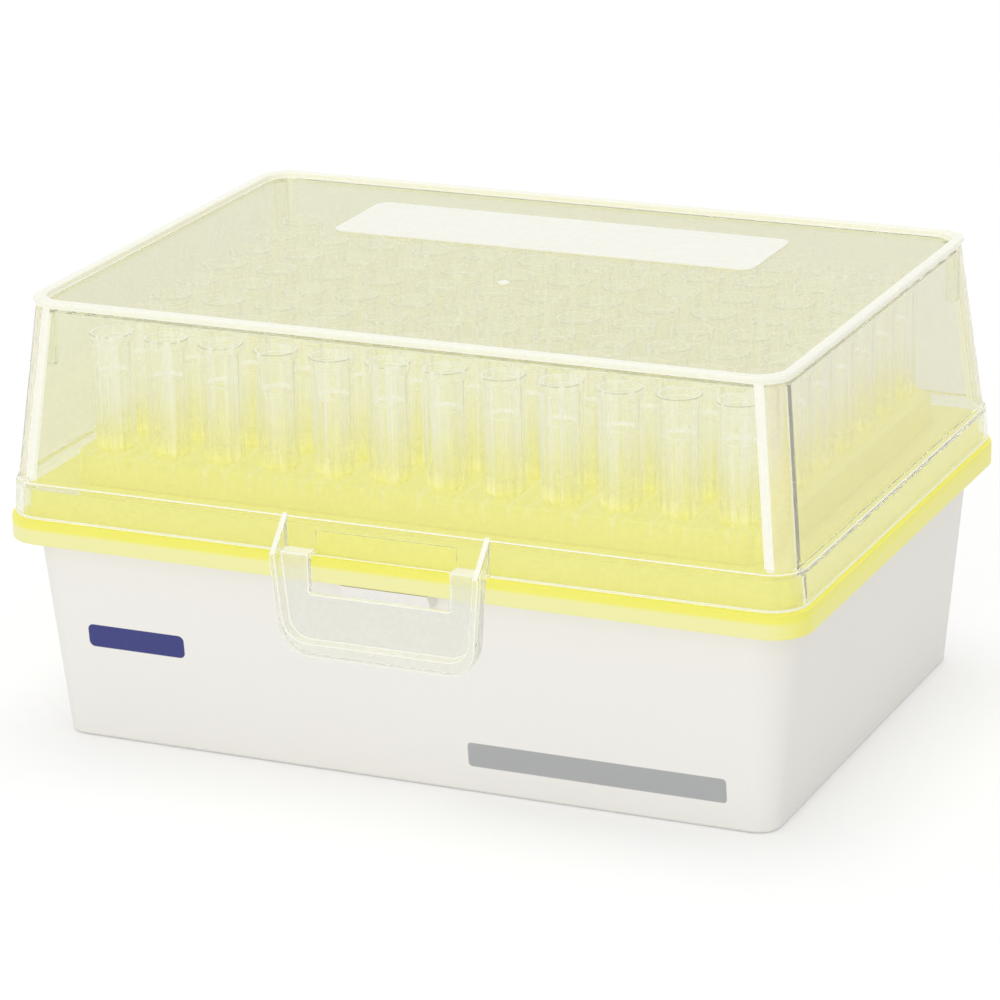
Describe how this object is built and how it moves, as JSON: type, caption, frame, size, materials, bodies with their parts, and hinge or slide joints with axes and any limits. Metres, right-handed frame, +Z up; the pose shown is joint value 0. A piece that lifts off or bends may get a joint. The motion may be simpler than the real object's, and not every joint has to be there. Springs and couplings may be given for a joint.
{
  "type": "box of pipette tips",
  "caption": "Rectangular box for pipette tips: tapered white tub, yellow deck with a grid of hanging clear tips, and a clear hinged hood with a front snap latch.",
  "frame": {"origin": "middle of the tub's foot, on the surface it stands on", "axes": "+X along the twelve columns of tips, +Y from the latch towards the hinge, +Z up out of the tub"},
  "size_m": [0.1262, 0.0976, 0.0681],
  "materials": {
    "tub_plastic": "smooth matte, off-white, opaque",
    "deck_plastic": "glossy, lemon yellow, opaque",
    "lid_plastic": "glossy, clear, slightly frosted on the top panel",
    "tip_plastic": "natural clear, slightly cloudy"
  },
  "bodies": {
    "rack": {"base": "tub_plastic", "deck": "deck_plastic", "tips_column_01": "tip_plastic", "tips_column_02": "tip_plastic", "tips_column_03": "tip_plastic", "tips_column_04": "tip_plastic", "tips_column_05": "tip_plastic", "tips_column_06": "tip_plastic", "tips_column_07": "tip_plastic", "tips_column_08": "tip_plastic", "tips_column_09": "tip_plastic", "tips_column_10": "tip_plastic", "tips_column_11": "tip_plastic", "tips_column_12": "tip_plastic"},
    "lid": {"lid": "lid_plastic"}
  },
  "joints": [
    {"name": "lid_hinge", "type": "hinge", "parent": "rack", "child": "lid", "pos_m": [0, 0.0466, 0.0286], "axis": [-1, 0, 0], "range_deg": [0, 110]}
  ]
}
